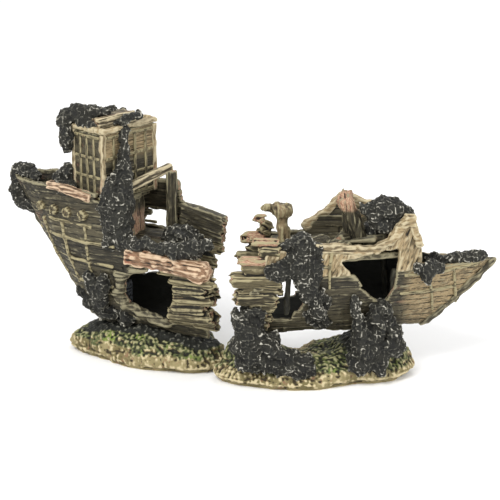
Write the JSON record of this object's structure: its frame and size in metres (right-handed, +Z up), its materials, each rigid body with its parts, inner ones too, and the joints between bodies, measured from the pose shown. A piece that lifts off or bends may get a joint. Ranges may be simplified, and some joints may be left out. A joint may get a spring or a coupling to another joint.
{
  "type": "sunken ship aquarium ornament",
  "caption": "Two free-standing halves of a wrecked sailing ship on rock bases, hollow and open for fish, with an air stone in the stern half.",
  "frame": {"origin": "centre of the bounding box at the floor, both halves standing on one flat floor as displayed", "axes": "+X to the right, the way the bow half points, +Y away from the viewer of the display side, +Z up"},
  "size_m": [0.3408, 0.1301, 0.1749],
  "materials": {
    "dark_timber": "cast resin, painted as dark sunken timber, matt with a faint varnish",
    "pale_timber": "cast resin, painted as worn pale timber",
    "raw_timber": "cast resin, painted as freshly broken timber",
    "rock": "cast resin, painted as stone with moss on top",
    "coral": "cast resin, painted black and dry-brushed pale grey",
    "air_tube": "moulded plastic tube",
    "air_stone": "bonded mineral grit, porous"
  },
  "bodies": {
    "stern_half": {"air_tube": "air_tube", "cabin_corner_posts": "pale_timber", "cabin_roof": "pale_timber", "cabin_walls": "pale_timber", "cabin_window_bars": "pale_timber", "coral_cabin_column": "coral", "coral_cabin_corner": "coral", "coral_roof": "coral", "coral_stern_deck": "coral", "coral_stern_heel": "coral", "poop_deck": "dark_timber", "porch_bulkhead": "dark_timber", "porch_lintel": "raw_timber", "porch_posts": "raw_timber", "port_bulwark_stub": "raw_timber", "porthole_bosses": "dark_timber", "quarter_rail": "raw_timber", "roof_wreckage": "raw_timber", "stern_battens_port": "dark_timber", "stern_battens_starboard": "dark_timber", "stern_broken_strakes": "raw_timber", "stern_deck": "dark_timber", "stern_hull_port": "dark_timber", "stern_hull_starboard": "dark_timber", "stern_post": "dark_timber", "stern_rock_base": "rock", "wale_beam": "raw_timber"},
    "bow_half": {"bollard": "dark_timber", "bow_battens_port": "dark_timber", "bow_battens_starboard": "dark_timber", "bow_broken_strakes": "raw_timber", "bow_deck": "dark_timber", "bow_hull_port": "dark_timber", "bow_hull_starboard": "dark_timber", "bow_rock_base": "rock", "bow_stem": "dark_timber", "coral_bow_band": "coral", "coral_bow_mound": "coral", "coral_bow_pillar": "coral", "coral_forecastle": "coral", "coral_prow": "coral", "deck_barrels": "raw_timber", "deck_wreckage": "raw_timber", "forecastle_bulkhead": "dark_timber", "forecastle_rail": "pale_timber", "forecastle_side_port": "dark_timber", "forecastle_side_starboard": "dark_timber", "inner_frames": "dark_timber", "mast_stump": "raw_timber", "prow_deck": "pale_timber"},
    "diffuser": {"air_stone": "air_stone"}
  },
  "joints": [
    {"name": "halves_apart", "type": "slide", "parent": "stern_half", "child": "bow_half", "axis": [1, 0, 0], "range_m": [0, 0.12]},
    {"name": "stone_pull", "type": "slide", "parent": "stern_half", "child": "diffuser", "axis": [0, 0, 1], "range_m": [0, 0.02]}
  ]
}
